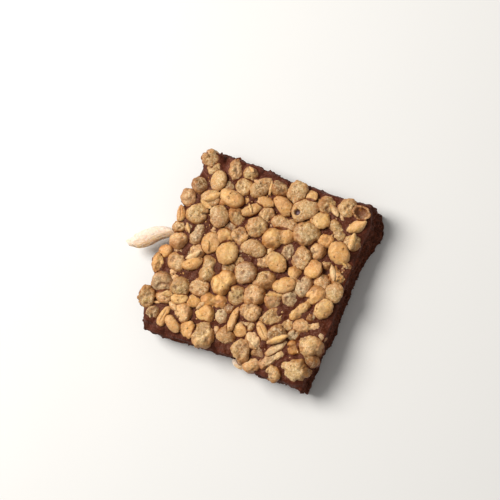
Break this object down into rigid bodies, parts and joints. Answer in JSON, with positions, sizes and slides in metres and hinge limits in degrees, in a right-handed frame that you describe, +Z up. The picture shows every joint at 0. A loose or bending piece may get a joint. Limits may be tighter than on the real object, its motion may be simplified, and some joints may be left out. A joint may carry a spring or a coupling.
{
  "type": "chocolate bar",
  "caption": "Broken square of dark chocolate topped with puffed grain, with a long puffed rice grain sticking out of its rough side.",
  "frame": {"origin": "middle of the slab's flat underside", "axes": "+Z up through the grain layer, +X towards the cut right side, +Y towards the back edge"},
  "size_m": [0.043, 0.035, 0.0071],
  "materials": {
    "chocolate": "semi-gloss dark chocolate, crumbly where it is broken",
    "puffed_grain": "matt toasted grain, khaki to golden and orange",
    "puffed_rice": "matt pale puffed rice"
  },
  "bodies": {
    "root": {"chocolate_slab": "chocolate", "puffed_grain_layer": "puffed_grain", "long_rice_grain": "puffed_rice", "short_rice_grain": "puffed_rice"}
  },
  "joints": []
}
